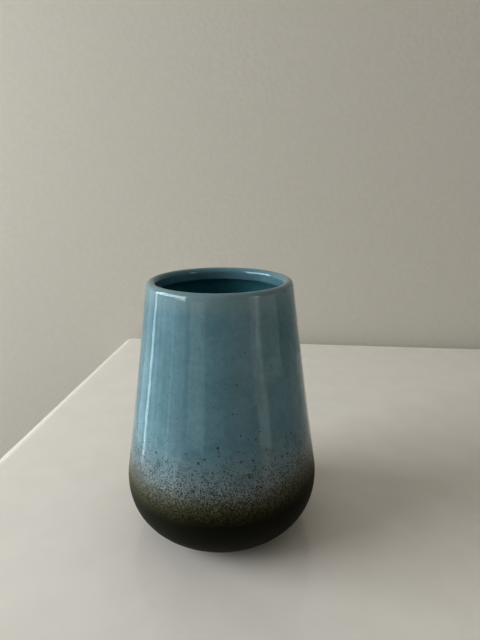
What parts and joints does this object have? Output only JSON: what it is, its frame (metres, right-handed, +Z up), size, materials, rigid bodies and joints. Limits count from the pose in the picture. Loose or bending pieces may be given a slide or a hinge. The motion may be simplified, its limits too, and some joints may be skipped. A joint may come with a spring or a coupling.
{
  "type": "bud vase",
  "caption": "Small tapering glazed stoneware vase with a round rim and a full rounded bowl on a bare foot ring, open at the top for a few stems.",
  "frame": {"origin": "centre of the foot ring's flat underside, on the vase's own axis", "axes": "+Z up along the vase's axis of symmetry and its longest side; X and Y lie in the plane of the foot"},
  "size_m": [0.091, 0.091, 0.12],
  "materials": {
    "bare_clay": "unglazed stoneware, matt and slightly gritty, seen only on the foot",
    "blue_glaze": "glossy grey-blue glaze, sprayed with dark specks that thicken downwards",
    "dark_glaze": "satin near-black glaze with an olive cast where it thins",
    "lining_glaze": "glossy blue lining glaze"
  },
  "bodies": {
    "root": {"clay_body": "bare_clay", "blue_outer_glaze": "blue_glaze", "dark_base_glaze": "dark_glaze", "blue_inner_glaze": "lining_glaze"}
  },
  "joints": []
}
